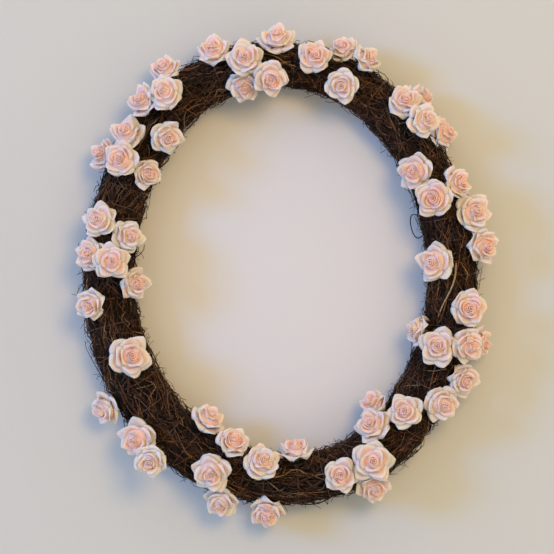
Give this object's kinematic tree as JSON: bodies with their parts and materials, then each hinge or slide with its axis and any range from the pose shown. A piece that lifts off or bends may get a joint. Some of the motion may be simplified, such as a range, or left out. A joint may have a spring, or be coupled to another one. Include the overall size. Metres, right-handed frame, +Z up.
{
  "type": "floral wreath",
  "caption": "Oval brushwood wreath bound on a wire hoop, dressed with blush foam roses on wire stems, with a swinging D ring behind its top.",
  "frame": {"origin": "the nail seat: the inside top of the D ring behind the top of the wreath, in the middle of its wire", "axes": "+Z up as it hangs, the flowers face -Y, +Y into the wall, X level along the wall"},
  "size_m": [0.4225, 0.0894, 0.5042],
  "materials": {
    "twigs": "rough dark brown bark",
    "hoop_wire": "drawn wire",
    "binding_wire": "brown lacquered wire",
    "hanger_wire": "bright drawn wire",
    "stem_tape": "green floral tape on wire",
    "calyx_green": "matte",
    "rose_foam": "soft matte foam sheet, blush"
  },
  "bodies": {
    "wreath": {"wire_hoop": "hoop_wire", "hoop_sleeves": "hoop_wire", "twig_bundle_01": "twigs", "twig_bundle_02": "twigs", "twig_bundle_03": "twigs", "twig_bundle_04": "twigs", "twig_bundle_05": "twigs", "twig_bundle_06": "twigs", "twig_bundle_07": "twigs", "twig_bundle_08": "twigs", "twig_bundle_09": "twigs", "twig_bundle_10": "twigs", "twig_bundle_11": "twigs", "twig_bundle_12": "twigs", "twig_bundle_13": "twigs", "twig_bundle_14": "twigs", "binding_ties_right": "binding_wire", "binding_ties_left": "binding_wire", "hanger_staples": "hanger_wire", "stems_top_right": "stem_tape", "stems_bottom_right": "stem_tape", "stems_bottom_left": "stem_tape", "stems_top_left": "stem_tape", "calyxes_top_right": "calyx_green", "calyxes_bottom_right": "calyx_green", "calyxes_bottom_left": "calyx_green", "calyxes_top_left": "calyx_green", "roses_01": "rose_foam", "roses_02": "rose_foam", "roses_03": "rose_foam", "roses_04": "rose_foam", "roses_05": "rose_foam", "roses_06": "rose_foam", "roses_07": "rose_foam", "roses_08": "rose_foam", "roses_09": "rose_foam", "roses_10": "rose_foam", "roses_11": "rose_foam", "roses_12": "rose_foam", "roses_13": "rose_foam", "roses_14": "rose_foam", "roses_15": "rose_foam", "roses_16": "rose_foam", "roses_17": "rose_foam", "roses_18": "rose_foam", "roses_19": "rose_foam", "roses_20": "rose_foam", "roses_21": "rose_foam", "roses_22": "rose_foam", "roses_23": "rose_foam", "roses_24": "rose_foam", "roses_25": "rose_foam", "roses_26": "rose_foam", "roses_27": "rose_foam", "roses_28": "rose_foam", "roses_29": "rose_foam"},
    "hanger": {"hanging_ring": "hanger_wire"}
  },
  "joints": [
    {"name": "ring_swing", "type": "hinge", "parent": "wreath", "child": "hanger", "pos_m": [0, 0, -0.019], "axis": [-1, 0, 0], "range_deg": [0, 180]}
  ]
}
